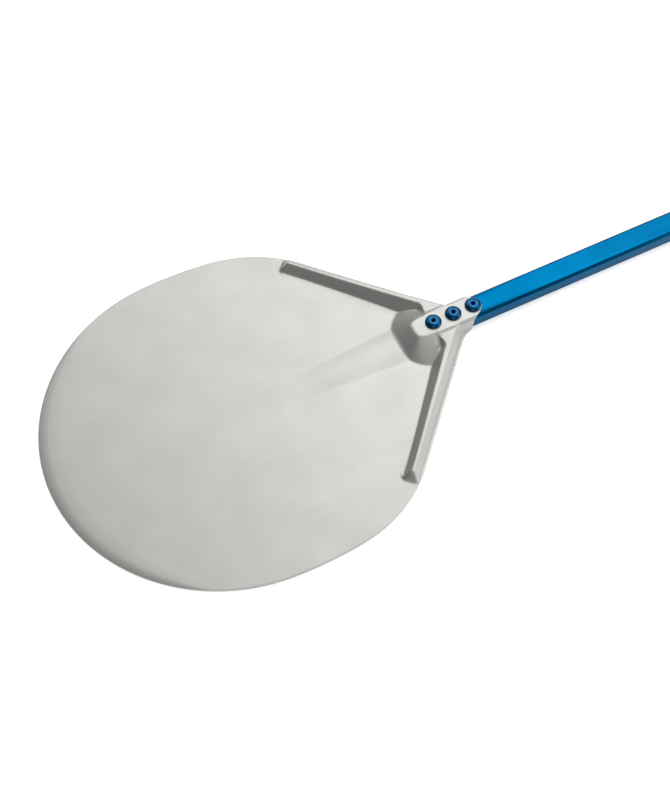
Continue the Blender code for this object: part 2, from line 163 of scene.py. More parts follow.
class Bench:
    """Node bench for one material: adds nodes and joins them to its shader."""

    noise_roughness = 0.55
    noise_low = 0.3
    noise_high = 0.7

    def __init__(self, name: str) -> None:
        """Start a material of that name with a Principled shader."""
        self.material = bpy.data.materials.new(name)
        self.material.use_nodes = True
        self.tree = self.material.node_tree
        self.shader = self.tree.nodes["Principled BSDF"]
        self.place = self.add("ShaderNodeTexCoord").outputs["Object"]

    def add(self, kind: str, **values: object) -> bpy.types.Node:
        """Add a node.

        Args:
            kind: Node type.
            **values: Properties of the node.

        Returns:
            The new node.
        """
        node = self.tree.nodes.new(kind)
        for key, value in values.items():
            setattr(node, key, value)
        return node

    def join(self, source: bpy.types.NodeSocket, target: bpy.types.NodeSocket) -> None:
        """Join an output to an input."""
        self.tree.links.new(source, target)

    def set(self, **values: object) -> None:
        """Set constant values on the shader, by socket names with _ for spaces."""
        for key, value in values.items():
            self.shader.inputs[key.replace("_", " ")].default_value = value

    def noise(self, size: float, grain: Grain = Grain.EVEN, detail: float = 3.0,
              place: bpy.types.NodeSocket | None = None) -> bpy.types.NodeSocket:
        """Noise of a real size on the object's own coordinates.

        Args:
            size: Length of one feature in metres.
            grain: Direction in which it is drawn out.
            detail: Octaves of finer noise.
            place: Coordinates to use in place of the object's own.

        Returns:
            The noise's value output.
        """
        mapping = self.add("ShaderNodeMapping")
        mapping.inputs["Scale"].default_value = grain.value
        self.join(place or self.place, mapping.inputs["Vector"])
        noise = self.add("ShaderNodeTexNoise")
        noise.inputs["Scale"].default_value = 1 / size
        noise.inputs["Detail"].default_value = detail
        noise.inputs["Roughness"].default_value = self.noise_roughness
        self.join(mapping.outputs["Vector"], noise.inputs["Vector"])
        return noise.outputs[0]

    def spread(self, source: bpy.types.NodeSocket, low: float, high: float) -> bpy.types.NodeSocket:
        """Stretch a noise to a range.

        Args:
            source: Noise to map.
            low: Result at the noise's usual low.
            high: Result at its usual high.

        Returns:
            The mapped value.
        """
        ranges = self.add("ShaderNodeMapRange")
        self.join(source, ranges.inputs["Value"])
        names = ("From Min", "From Max", "To Min", "To Max")
        for name, value in zip(names, (self.noise_low, self.noise_high, low, high)):
            ranges.inputs[name].default_value = value
        return ranges.outputs["Result"]

    def tint(self, source: bpy.types.NodeSocket, dark: Colour, light: Colour) -> bpy.types.NodeSocket:
        """Colour between two tints.

        Args:
            source: Share of the light tint.
            dark: Colour at 0.
            light: Colour at 1.

        Returns:
            The colour.
        """
        mix = self.add("ShaderNodeMix", data_type="RGBA")
        self.join(source, mix.inputs["Factor"])
        mix.inputs["A"].default_value = (*dark, 1.0)
        mix.inputs["B"].default_value = (*light, 1.0)
        return mix.outputs["Result"]

    def reckon(self, operation: str, *values: bpy.types.NodeSocket | float) -> bpy.types.NodeSocket:
        """Arithmetic on values.

        Args:
            operation: Math operation.
            *values: Sockets or constants.

        Returns:
            The result.
        """
        node = self.add("ShaderNodeMath", operation=operation)
        for socket, value in zip(node.inputs, values):
            if isinstance(value, (int, float)):
                socket.default_value = value
            else:
                self.join(value, socket)
        return node.outputs[0]

    def blend(self, first: bpy.types.NodeSocket, second: bpy.types.NodeSocket,
              share: float) -> bpy.types.NodeSocket:
        """Weighted sum of two noises, where share is the first one's weight."""
        return self.reckon("ADD", self.reckon("MULTIPLY", first, share),
                           self.reckon("MULTIPLY", second, 1 - share))

    def colour(self, tone: bpy.types.NodeSocket, dark: Colour, light: Colour) -> None:
        """Colour the shader between two tints, by a noise."""
        self.join(self.tint(self.spread(tone, 0.0, 1.0), dark, light),
                  self.shader.inputs["Base Color"])

    def gloss(self, tone: bpy.types.NodeSocket, low: float, high: float) -> None:
        """Vary the shader's roughness between two values, by a noise."""
        self.join(self.spread(tone, low, high), self.shader.inputs["Roughness"])

    def bump(self, height: bpy.types.NodeSocket, depth: float, strength: float,
             below: bpy.types.NodeSocket | None = None) -> bpy.types.NodeSocket:
        """Fine relief on the shader.

        Args:
            height: Height from 0 to 1.
            depth: Depth of the relief in metres.
            strength: How much of it shows.
            below: Normal of a coarser relief beneath it.

        Returns:
            The relief's normal.
        """
        node = self.add("ShaderNodeBump")
        node.inputs["Strength"].default_value = strength
        node.inputs["Distance"].default_value = depth
        self.join(height, node.inputs["Height"])
        if below is not None:
            self.join(below, node.inputs["Normal"])
        self.join(node.outputs["Normal"], self.shader.inputs["Normal"])
        return node.outputs["Normal"]


@dataclass(frozen=True)
class SatinSheet:
    """Clear anodised sheet: bright metal with a soft, even, faintly rolled surface."""

    dark: Colour = (0.480, 0.482, 0.462)
    light: Colour = (0.508, 0.510, 0.490)

    def make(self) -> bpy.types.Material:
        """Return the material."""
        bench = Bench("satin_sheet")
        cloud = bench.noise(0.045, detail=2.0)
        rolled = bench.noise(0.0012, Grain.ALONG_X, detail=4.0)
        grit = bench.noise(0.00035, detail=2.0)
        tone = bench.blend(cloud, rolled, 0.6)
        bench.colour(tone, self.dark, self.light)
        bench.gloss(tone, 0.58, 0.54)
        coarse = bench.bump(rolled, 0.00001, 0.15)
        bench.bump(grit, 0.00001, 0.25, coarse)
        bench.set(Metallic=1.0)
        return bench.material


@dataclass(frozen=True)
class GroundEdgeAndShade:
    """Bare ground aluminium: fine lines that follow the blade's rim, on a grey darker than the
    sheet's that is partly the metal's own tone and partly painted shade of the tilted bevel.
    """

    # Darker than the satin sheet: partly the ground metal's own tone, partly painted shade of the
    # bevel's tilt.
    dark: Colour = (0.36, 0.36, 0.355)
    light: Colour = (0.42, 0.42, 0.415)

    def make(self) -> bpy.types.Material:
        """Return the material."""
        bench = Bench("ground_edge_and_shade")
        reach = bench.add("ShaderNodeVectorMath", operation="LENGTH")
        bench.join(bench.place, reach.inputs[0])
        line_place = bench.add("ShaderNodeCombineXYZ")
        bench.join(reach.outputs["Value"], line_place.inputs["X"])
        lines = bench.noise(0.0005, detail=4.0, place=line_place.outputs["Vector"])
        patches = bench.noise(0.012, detail=3.0)
        bench.colour(bench.blend(lines, patches, 0.7), self.dark, self.light)
        bench.gloss(patches, 0.38, 0.50)
        bench.bump(lines, 0.00003, 0.4)
        bench.set(Metallic=1.0)
        return bench.material


@dataclass(frozen=True)
class BlueAnodised:
    """Blue anodised extrusion, semi-gloss, with fine die lines along it."""

    dark: Colour = (0.0, 0.070, 0.163)
    light: Colour = (0.0, 0.093, 0.213)

    def make(self) -> bpy.types.Material:
        """Return the material."""
        bench = Bench("blue_anodised")
        die_lines = bench.noise(0.0009, Grain.ALONG_X, detail=5.0)
        cloud = bench.noise(0.03, detail=2.0)
        bench.colour(bench.blend(die_lines, cloud, 0.55), self.dark, self.light)
        bench.gloss(die_lines, 0.26, 0.36)
        bench.bump(die_lines, 0.00002, 0.3)
        bench.set(Metallic=1.0)
        return bench.material


@dataclass(frozen=True)
class BlueRivet:
    """Deep blue glossy finish of the rivets, worn a little lighter in patches."""

    dark: Colour = (0.0, 0.048, 0.125)
    light: Colour = (0.0, 0.074, 0.185)

    def make(self) -> bpy.types.Material:
        """Return the material."""
        bench = Bench("blue_rivet")
        patches = bench.noise(0.0018, detail=4.0)
        grit = bench.noise(0.0003, detail=2.0)
        bench.colour(patches, self.dark, self.light)
        bench.gloss(patches, 0.22, 0.32)
        bench.bump(grit, 0.00002, 0.2)
        bench.set(Metallic=0.9, Coat_Weight=0.12, Coat_Roughness=0.15)
        return bench.material


@dataclass(frozen=True)
class StemSteel:
    """Dull steel of the broken mandrels."""

    dark: Colour = (0.10, 0.10, 0.105)
    light: Colour = (0.24, 0.24, 0.245)

    def make(self) -> bpy.types.Material:
        """Return the material."""
        bench = Bench("stem_steel")
        torn = bench.noise(0.0004, detail=5.0)
        bench.colour(torn, self.dark, self.light)
        bench.gloss(torn, 0.40, 0.60)
        bench.bump(torn, 0.00006, 0.6)
        bench.set(Metallic=1.0)
        return bench.material


@dataclass(frozen=True)
class CapPolymer:
    """Moulded polymer with a fine spark-eroded grain."""

    dark: Colour = (0.006, 0.020, 0.050)
    light: Colour = (0.012, 0.034, 0.078)

    def make(self) -> bpy.types.Material:
        """Return the material."""
        bench = Bench("cap_polymer")
        grain = bench.noise(0.0004, detail=3.0)
        cloud = bench.noise(0.010, detail=2.0)
        bench.colour(cloud, self.dark, self.light)
        bench.gloss(grain, 0.46, 0.62)
        bench.bump(grain, 0.00005, 0.5)
        bench.set(Metallic=0.0)
        return bench.material


@dataclass(frozen=True)
class StudioPaper:
    """Pale, evenly backlit sheet under the peel."""

    colour: Colour = (0.95, 0.95, 0.95)
    fibre_tone: float = 0.995
    glow: float = 0.40

    def make(self) -> bpy.types.Material:
        """Return the material."""
        bench = Bench("studio_paper")
        fibre = bench.noise(0.002, detail=2.0)
        pale = tuple(part * self.fibre_tone for part in self.colour)
        bench.join(bench.tint(fibre, pale, self.colour), bench.shader.inputs["Base Color"])
        bench.set(Roughness=0.9, Emission_Color=(1.0, 1.0, 1.0, 1.0), Emission_Strength=self.glow)
        return bench.material


# --- making pieces -------------------------------------------------------------------


class Solid(Enum):
    """How a temporary solid changes a piece."""

    CUT = "DIFFERENCE"
    ADD = "UNION"


def mesh_object(name: str, builder: bmesh.types.BMesh) -> bpy.types.Object:
    """Turn a bmesh into an object at the origin, with its faces pointing out.

    Args:
        name: Name of the object.
        builder: The closed bmesh, which is freed.

    Returns:
        The new object.
    """
    bmesh.ops.recalc_face_normals(builder, faces=builder.faces)
    if builder.calc_volume(signed=True) < 0:
        bmesh.ops.reverse_faces(builder, faces=builder.faces)
    mesh = bpy.data.meshes.new(name)
    builder.to_mesh(mesh)
    builder.free()
    item = bpy.data.objects.new(name, mesh)
    bpy.context.scene.collection.objects.link(item)
    return item


def pull(builder: bmesh.types.BMesh, way: tuple[float, float, float]) -> None:
    """Extrude every face of a bmesh along a vector, and keep the start as one end.

    Args:
        builder: The bmesh, whose faces lie in one plane.
        way: The vector.
    """
    pulled = bmesh.ops.extrude_face_region(builder, geom=builder.faces[:], use_keep_orig=True)
    moved = [item for item in pulled["geom"] if isinstance(item, bmesh.types.BMVert)]
    bmesh.ops.translate(builder, verts=moved, vec=way)


def upright_pins(centres: list[Point], radius: float, low: float = PIN_LOW,
                 high: float = PIN_HIGH) -> bpy.types.Object:
    """Temporary upright cylinders in one object.

    Args:
        centres: Their places, seen from above.
        radius: Their radius.
        low: Height of their lower ends.
        high: Height of their upper ends.

    Returns:
        The cylinders.
    """
    builder = bmesh.new()
    for centre in centres:
        place = Matrix.Translation((*centre, (low + high) / 2))
        bmesh.ops.create_cone(builder, cap_ends=True, segments=ROUND_SIDES, radius1=radius,
                              radius2=radius, depth=high - low, matrix=place)
    return mesh_object("pins", builder)


def turned(name: str, profile: list[Point], place: Vector, is_ring: bool) -> bpy.types.Object:
    """Spin a profile round an upright axis.

    Args:
        name: Name of the object.
        profile: Its section (radius, height).
        place: Where the axis meets height 0.
        is_ring: Whether the profile is closed, or else starts and ends on the axis.

    Returns:
        The turned object, in place.
    """
    builder = bmesh.new()
    corners = [builder.verts.new((radius, 0, height)) for radius, height in profile]
    after = corners[1:] + corners[:1] if is_ring else corners[1:]
    edges = [builder.edges.new(pair) for pair in zip(corners, after)]
    bmesh.ops.spin(builder, geom=corners + edges, cent=(0, 0, 0), axis=(0, 0, 1),
                   dvec=(0, 0, 0), angle=math.tau, steps=ROUND_SIDES, use_merge=True)
    bmesh.ops.remove_doubles(builder, verts=builder.verts, dist=WELD)
    bmesh.ops.dissolve_degenerate(builder, edges=builder.edges, dist=WELD / 5)
    bmesh.ops.translate(builder, verts=builder.verts, vec=place)
    return mesh_object(name, builder)


def carve(item: bpy.types.Object, tool: bpy.types.Object, how: Solid) -> None:
    """Change a piece by a temporary solid, and remove that solid.

    Args:
        item: The piece.
        tool: The temporary solid.
        how: Whether the solid is cut out or added.
    """
    change = item.modifiers.new("carve", "BOOLEAN")
    change.operation = how.value
    change.solver = "EXACT"
    change.object = tool
    shown = item.evaluated_get(bpy.context.evaluated_depsgraph_get())
    result = bpy.data.meshes.new_from_object(shown)
    item.modifiers.clear()
    item.data = result
    bpy.data.objects.remove(tool, do_unlink=True)


def finish_piece(item: bpy.types.Object, node: str,
                 materials: list[bpy.types.Material], sharp: float = 32.0) -> None:
    """Shade a piece, dress it and put it in place of its CAD node.

    Args:
        item: The piece.
        node: The CAD node that it stands for.
        materials: The piece's materials, in slot order.
        sharp: Angle in degrees above which an edge stays crisp.
    """
    item.data.shade_smooth()
    item.data.set_sharp_from_angle(angle=math.radians(sharp))
    item.data.materials.clear()
    for material in materials:
        item.data.materials.append(material)
    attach(item, BODY)
    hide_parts(node)
    LOG.info("%s: %d faces", item.name, len(item.data.polygons))


def box_centre(node: str) -> Vector:
    """Centre of a CAD node's box."""
    low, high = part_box(node)
    return (low + high) / 2


# --- blade ---------------------------------------------------------------------------


@dataclass(frozen=True)
class BladePlan:
    """Outline of the blade, seen from above: a chain of arcs that run into each other."""

    front_radius: float = 0.180
    cheek_radius: float = 0.377
    corner_radius: float = 0.142
    front_end: float = math.radians(85.9)
    cheek_end: float = math.radians(97.1)
    corner_end: float = math.radians(137.5)
    neck_half: float = 0.0158
    neck_fillet: float = 0.024

    def centre(self, start: Vector, change: float, angle: float) -> Vector:
        """Centre of the next arc: the last one moved along the line to where they meet."""
        return start + change * Vector(heading(angle))

    @property
    def cheek(self) -> Vector:
        """Centre of the cheek's arc."""
        return self.centre(Vector((0.0, 0.0)), self.front_radius - self.cheek_radius, self.front_end)

    @property
    def corner(self) -> Vector:
        """Centre of the corner's arc."""
        return self.centre(self.cheek, self.cheek_radius - self.corner_radius, self.cheek_end)

    @property
    def shoulder(self) -> Vector:
        """Point where the straight shoulder starts."""
        return self.centre(self.corner, self.corner_radius, self.corner_end)

    @property
    def along(self) -> Vector:
        """Direction of the shoulder, towards the neck."""
        return Vector((math.sin(self.corner_end), math.cos(self.corner_end)))

    def half_width_maker(self) -> Callable[[float], float]:
        """Prepare the outline.

        Returns:
            A function that gives the distance from the axis to the blade's edge at x.
        """
        cheek, corner, shoulder, along = self.cheek, self.corner, self.shoulder, self.along
        slope = -along.y / along.x
        cheek_start = self.front_radius * heading(self.front_end)[0]
        cheek_stop = (cheek + self.cheek_radius * Vector(heading(self.cheek_end))).x
        meeting = shoulder.x + (shoulder.y - self.neck_half) / slope
        reach = self.neck_fillet * math.tan(math.atan(slope) / 2)
        arcs = (
            (cheek_start, Vector((0.0, 0.0)), self.front_radius),
            (cheek_stop, cheek, self.cheek_radius),
            (shoulder.x, corner, self.corner_radius),
        )

        def half_width(x: float) -> float:
            """Distance from the axis to the edge at x."""
            for stop, centre, radius in arcs:
                if x <= stop:
                    return centre.y + math.sqrt(max(radius ** 2 - (x - centre.x) ** 2, 0.0))
            if x <= meeting - reach * along.x:
                return shoulder.y - (x - shoulder.x) * slope
            if x >= meeting + reach:
                return self.neck_half
            drop = math.sqrt(self.neck_fillet ** 2 - (meeting + reach - x) ** 2)
            return self.neck_half + self.neck_fillet - drop

        return half_width


@dataclass(frozen=True)
class BladePress:
    """Pressed relief of the blade: neck, shoulder ribs and a low arched middle ridge."""

    plan: BladePlan
    sheet: float = 0.0015
    neck_rise: float = 0.0153
    neck_top_front: float = 0.2045
    neck_toe: float = 0.1850
    neck_top_half: float = 0.0105
    skirt_centre: float = 0.2180
    skirt_half: float = 0.0385
    skirt_taper: float = 2.2
    neck_squareness: float = 4
    neck_crest: float = 0.0060
    neck_side_crest: float = 0.0043
    neck_foot: float = 0.0050
    channel_foot: float = 0.0020
    channel_start: float = 0.2620
    channel_top_half: float = 0.0144
    channel_foot_half: float = 0.0160
    rib_start: float = -0.0215
    rib_end: float = 0.1560
    rib_length: float = 0.1390
    rib_rise: float = 0.0086
    rib_growth: float = 0.0050
    rib_top_inset: float = 0.0108
    rib_top_widening: float = 0.0031
    rib_inner_run: float = 0.0072
    rib_inner_growth: float = 0.0035
    rib_inner_round: float = 0.0022
    rib_outer_inset: float = 0.0078
    rib_outer_run: float = 0.0056
    rib_outer_foot: float = 0.0020
    rib_end_inset: float = 0.0080
    rib_end_run: float = 0.0070
    rib_buried_run: float = 0.0100
    rib_crest: float = 0.0030
    rib_reach: float = 1.2
    crest_blend: float = 0.0015
    end_blend: float = 0.0030
    neck_blend: float = 0.0030
    web_reach: float = 0.0250
    web_start: float = 0.92
    web_end: float = 1.10
    ridge_tip: float = 0.030
    ridge_rise: float = 0.0026
    ridge_tip_half: float = 0.0120
    ridge_half: float = 0.0205
    ridge_reach: float = 1.2
    ridge_softness: float = 1.2
    ridge_blend: float = 0.0020
    slope_step: float = 0.00005

    def rib(self, x: float, y: float) -> float:
        """Height of the shoulder rib above the sheet at (x, y), with y on the rib's side."""
        shoulder, along = self.plan.shoulder, self.plan.along
        off_x = x - shoulder.x
        off_y = y - shoulder.y
        travel = off_x * along.x + off_y * along.y
        inset = off_x * along.y - off_y * along.x
        part = min(max(travel / self.rib_length, 0.0), self.rib_reach)
        rise = self.rib_rise + self.rib_growth * part ** 1.5
        web = self.web_reach * ease(self.web_start, self.web_end, part)
        top_edge = self.rib_top_inset + self.rib_top_widening * part + web
        inner_run = self.rib_inner_run + self.rib_inner_growth * part ** 2
        inner = flank(inset - top_edge, rise, inner_run, self.rib_inner_round, self.rib_inner_round)
        outer = flank(self.rib_outer_inset - inset, rise, self.rib_outer_run,
                      self.rib_crest, self.rib_outer_foot)
        end = flank(self.rib_start + self.rib_end_inset - travel, rise, self.rib_end_run,
                    self.rib_crest, self.rib_crest)
        buried_end = flank(travel - self.rib_end, rise, self.rib_buried_run,
                           self.rib_crest, self.rib_crest)
        wall = blend_down(inner, outer, self.crest_blend, rise)
        return blend_down(wall, min(end, buried_end), self.end_blend, rise)

    def neck(self, x: float, y: float) -> float:
        """Height of the raised neck above the sheet at (x, y)."""
        part = ease(self.neck_top_front, self.channel_start, x)
        top_half = self.neck_top_half + (self.channel_top_half - self.neck_top_half) * part
        foot_round = self.neck_foot - (self.neck_foot - self.channel_foot) * part
        if x >= self.skirt_centre:
            taper = max((self.channel_start - x) / (self.channel_start - self.skirt_centre), 0.0)
            spread = (self.skirt_half - self.channel_foot_half) * taper ** self.skirt_taper
            run = self.channel_foot_half + spread - top_half
            return flank(y - top_half, self.neck_rise, run, self.neck_side_crest, foot_round)
        ahead = self.skirt_centre - x
        reach = math.hypot(ahead, y)
        ahead /= reach
        aside = y / reach
        top_ahead = self.skirt_centre - self.neck_top_front
        power = self.neck_squareness
        top = ((ahead / top_ahead) ** power + (aside / top_half) ** power) ** (-1 / power)
        foot = math.hypot(ahead / (self.skirt_centre - self.neck_toe), aside / self.skirt_half) ** -1
        return flank(reach - top, self.neck_rise, foot - top, self.neck_crest, foot_round)

    def ridge(self, x: float, y: float) -> float:
        """Height of the arched middle ridge above the sheet at (x, y)."""
        part = (x - self.ridge_tip) / (self.neck_toe - self.ridge_tip)
        if part <= 0.0:
            return 0.0
        part = min(part, self.ridge_reach)
        half = self.ridge_tip_half + (self.ridge_half - self.ridge_tip_half) * part
        across = min(y / half, 1.0)
        return self.ridge_rise * part * (1 - across ** 2) ** self.ridge_softness

    def top(self, x: float, y: float) -> float:
        """Height of the blade's upper face at (x, y), without the ground bevel."""
        side = abs(y)
        raised = blend_up(self.neck(x, side), self.rib(x, side), self.neck_blend)
        pressed = blend_up(raised, self.ridge(x, side), self.ridge_blend)
        return self.sheet + min(pressed, self.neck_rise)

    def normal(self, x: float, y: float) -> Vector:
        """Unit normal of the blade's upper face at (x, y)."""
        step = self.slope_step
        slope_x = (self.top(x + step, y) - self.top(x - step, y)) / (2 * step)
        slope_y = (self.top(x, y + step) - self.top(x, y - step)) / (2 * step)
        return Vector((-slope_x, -slope_y, 1)).normalized()


@dataclass
class Blade:
    """Pressed sheet blade with a ground front bevel and holes for the neck's rivets."""

    press: BladePress
    rivet_spots: list[Point]
    shank_hole: float = 0.0027
    bevel_width: float = 0.0107
    bevel_drop: float = 0.0009
    bevel_spread: float = math.radians(62)
    flat_x: float = 0.020
    neck_end: float = 0.2790
    nose_curve: float = 68.0
    nose_start: float = 0.2350
    rim_round: float = 0.00020
    bend_weight: float = 0.012
    columns: int = 72
    samples: int = 480
    front_rows: int = 12
    edge_rounds: int = 4
    half_width: Callable[[float], float] = field(init=False)

    def __post_init__(self) -> None:
        """Prepare the outline."""
        self.half_width = self.press.plan.half_width_maker()

    @property
    def front(self) -> float:
        """Radius of the blade's front."""
        return self.press.plan.front_radius

    @property
    def tip_x(self) -> float:
        """X at which the ground bevel runs out."""
        return self.front * heading(self.bevel_spread)[0]

    def bevel_at(self, angle: float) -> float:
        """Width of the ground bevel at an angle from the front."""
        return self.bevel_width * max(1 - (angle / self.bevel_spread) ** 4, 0.0)

    def front_row(self, edge_x: float) -> list[Point]:
        """Row that follows the bevel's inner line near the front and straightens out.

        Args:
            edge_x: X at which the row meets the blade's edge.

        Returns:
            Points from the axis to the edge.
        """
        part = (edge_x - self.tip_x) / (self.flat_x - self.tip_x)
        tip_y = self.front * heading(self.bevel_spread)[1]
        flat_half = self.half_width(self.flat_x)
        stretch = self.half_width(edge_x) / (tip_y + (flat_half - tip_y) * part)
        row = []
        for column in range(self.columns + 1):
            across = column / self.columns
            angle = across * self.bevel_spread
            curved = (self.front - self.bevel_at(angle)) * Vector(heading(angle))
            x = curved.x + (self.flat_x - curved.x) * part
            row.append((x, (curved.y + (across * flat_half - curved.y) * part) * stretch))
        return row

    def nosed(self, row_x: float, y: float) -> float:
        """X of a straight row at y, bent round the last rivet towards the neck's end."""
        half = min(y, self.press.plan.neck_half)
        return row_x - self.nose_curve * half ** 2 * ease(self.nose_start, self.neck_end, row_x)

    def straight_row(self, row_x: float) -> list[Point]:
        """Row straight across the blade, closest together where the sheet bends most.

        Args:
            row_x: X of the row on the axis.

        Returns:
            Points from the axis to the edge.
        """
        edge_y = self.half_width(row_x)
        for _ in range(self.edge_rounds):
            edge_y = self.half_width(self.nosed(row_x, edge_y))
        line = []
        for step in range(self.samples + 1):
            y = edge_y * step / self.samples
            line.append(Vector((self.nosed(row_x, y), y, self.press.top(self.nosed(row_x, y), y))))
        travelled = [0.0]
        last_tilt = 0.0
        for before, after in zip(line, line[1:]):
            tilt = math.atan2(after.z - before.z, after.y - before.y)
            bend = self.bend_weight * abs(tilt - last_tilt)
            travelled.append(travelled[-1] + (after - before).length + bend)
            last_tilt = tilt
        row = []
        index = 0
        for column in range(self.columns + 1):
            goal = travelled[-1] * column / self.columns
            while index < self.samples - 1 and travelled[index + 1] < goal:
                index += 1
            part = (goal - travelled[index]) / (travelled[index + 1] - travelled[index])
            y = edge_y * (index + min(part, 1.0)) / self.samples
            row.append((self.nosed(row_x, y), y))
        return row

    def rows(self) -> list[list[Point]]:
        """Rows of plan points over one half of the blade, from its front to the neck's end."""
        turns = [self.bevel_spread * column / self.columns for column in range(self.columns + 1)]
        rows = [[tuple(self.front * Vector(heading(turn))) for turn in turns]]
        rows += [self.front_row(x) for x in spaced(self.tip_x, self.flat_x, self.front_rows)]
        stops = (
            (self.flat_x, 24), (0.110, 18), (0.130, 48), (0.180, 44),
            (0.212, 40), (0.250, 26), (self.neck_end, 0),
        )
        for (start, count), (end, _) in zip(stops, stops[1:]):
            rows += [self.straight_row(x) for x in spaced(start, end, count)]
        return rows + [self.straight_row(self.neck_end)]

    def bevel_depth(self, place: Vector) -> float:
        """How far the grinding takes the upper face down at a place."""
        angle = math.atan2(abs(place.y), -place.x)
        reach = math.hypot(place.x, place.y) - self.front + self.bevel_at(angle)
        if place.x > self.tip_x + WELD or reach <= 0.0:
            return 0.0
        return self.bevel_drop * reach / self.bevel_width

    def skin(self) -> bmesh.types.BMesh:
        """Lay a grid over half the plan, raise it to the pressed surface and mirror it.

        Returns:
            The upper face of the whole blade, pointing up.
        """
        rows = self.rows()
        skin = bmesh.new()
        bmesh.ops.create_grid(skin, x_segments=len(rows) - 1, y_segments=self.columns, size=1)
        # First-row faces take the second slot, the bevel's darker grey, which is partly painted
        # shade.
        for face in skin.faces:
            in_first_row = (face.calc_center_median().x + 1) / 2 * (len(rows) - 1) < 1
            face.material_index = int(in_first_row)
        for vertex in skin.verts:
            row = round((vertex.co.x + 1) / 2 * (len(rows) - 1))
            column = round((vertex.co.y + 1) / 2 * self.columns)
            x, y = rows[row][column]
            vertex.co = (x, y, self.press.top(x, y))
        bmesh.ops.mirror(skin, geom=skin.verts[:] + skin.edges[:] + skin.faces[:], axis="Y",
                         merge_dist=WELD)
        bmesh.ops.remove_doubles(skin, verts=skin.verts, dist=WELD)
        bmesh.ops.recalc_face_normals(skin, faces=skin.faces)
        if sum(face.normal.z for face in skin.faces) < 0:
            bmesh.ops.reverse_faces(skin, faces=skin.faces)
        return skin

    def thicken(self, skin: bmesh.types.BMesh) -> None:
        """Give the skin the sheet's thickness, grind the bevel and round the cut rim.

        Args:
            skin: The upper face, which becomes a closed sheet.
        """
        upper = set(skin.verts)
        doubled = bmesh.ops.extrude_face_region(skin, geom=skin.faces[:], use_keep_orig=True)
        for item in doubled["geom"]:
            if isinstance(item, bmesh.types.BMVert):
                item.co -= self.press.sheet * self.press.normal(item.co.x, item.co.y)
            elif isinstance(item, bmesh.types.BMFace):
                item.material_index = 0
        for vertex in upper:
            vertex.co.z -= self.bevel_depth(vertex.co)
        bmesh.ops.recalc_face_normals(skin, faces=skin.faces)
        rim = [edge for edge in skin.edges
               if edge.is_manifold and edge.calc_face_angle() > math.radians(60)]
        bmesh.ops.bevel(skin, geom=rim, offset=self.rim_round, offset_type="OFFSET", segments=2,
                        profile=0.5, affect="EDGES", material=-1, clamp_overlap=True)

    def build(self, satin: bpy.types.Material, ground: bpy.types.Material) -> None:
        """Build and dress the blade.

        Args:
            satin: Finish of the pressed sheet.
            ground: Finish of the front bevel; its darker grey is partly painted shade.
        """
        skin = self.skin()
        self.thicken(skin)
        blade = mesh_object("peel_blade", skin)
        carve(blade, upright_pins(self.rivet_spots, self.shank_hole), Solid.CUT)
        finish_piece(blade, "blade", [satin, ground], sharp=40)


# --- handle --------------------------------------------------------------------------


@dataclass
class HandleTube:
    """Extruded tube with well rounded upper corners and tight lower ones."""

    rivet_spots: list[Point]
    width: float = 0.0260
    height: float = 0.0150
    wall: float = 0.0014
    top_round: float = 0.0038
    foot_round: float = 0.0010
    least_round: float = 0.0005
    start: float = 0.2120
    end: float = 0.8350
    end_round: float = 0.0003
    shank_hole: float = 0.0027
    corner_steps: int = 16

    def section(self, inset: float) -> list[Point]:
        """Points (y, z) of the section.

        Args:
            inset: How far the section is moved inwards.

        Returns:
            The points, counter-clockwise.
        """
        points = []
        for number in range(4):
            at_top = number < 2
            side = 1 if number in (0, 3) else -1
            radius = max((self.top_round if at_top else self.foot_round) - inset, self.least_round)
            y = side * (self.width / 2 - inset - radius)
            z = self.height - inset - radius if at_top else inset + radius
            for step in range(self.corner_steps + 1):
                turn = math.pi / 2 * (number + step / self.corner_steps)
                points.append((y + radius * math.cos(turn), z + radius * math.sin(turn)))
        return points

    def ring(self, builder: bmesh.types.BMesh, inset: float, x: float) -> list[bmesh.types.BMEdge]:
        """Add the section as a closed loop at one x.

        Args:
            builder: The bmesh to add to.
            inset: How far the section is moved inwards.
            x: Where the loop lies.

        Returns:
            The loop's edges.
        """
        corners = [builder.verts.new((x, y, z)) for y, z in self.section(inset)]
        return [builder.edges.new(pair) for pair in zip(corners, corners[1:] + corners[:1])]

    def build(self, blue: bpy.types.Material) -> None:
        """Build the tube and dress it in its blue finish."""
        builder = bmesh.new()
        loops = self.ring(builder, 0.0, self.start) + self.ring(builder, self.wall, self.start)
        bmesh.ops.bridge_loops(builder, edges=loops)
        pull(builder, (self.end - self.start, 0, 0))
        bmesh.ops.recalc_face_normals(builder, faces=builder.faces)
        rims = [edge for edge in builder.edges if edge.calc_length() < self.width
                and edge.calc_face_angle() > math.radians(80)]
        bmesh.ops.bevel(builder, geom=rims, offset=self.end_round, offset_type="OFFSET", segments=2,
                        profile=0.5, affect="EDGES", material=-1, clamp_overlap=True)
        tube = mesh_object("blue_tube", builder)
        carve(tube, upright_pins(self.rivet_spots, self.shank_hole), Solid.CUT)
        finish_piece(tube, "handle_tube", [blue], sharp=35)


# --- rivets --------------------------------------------------------------------------


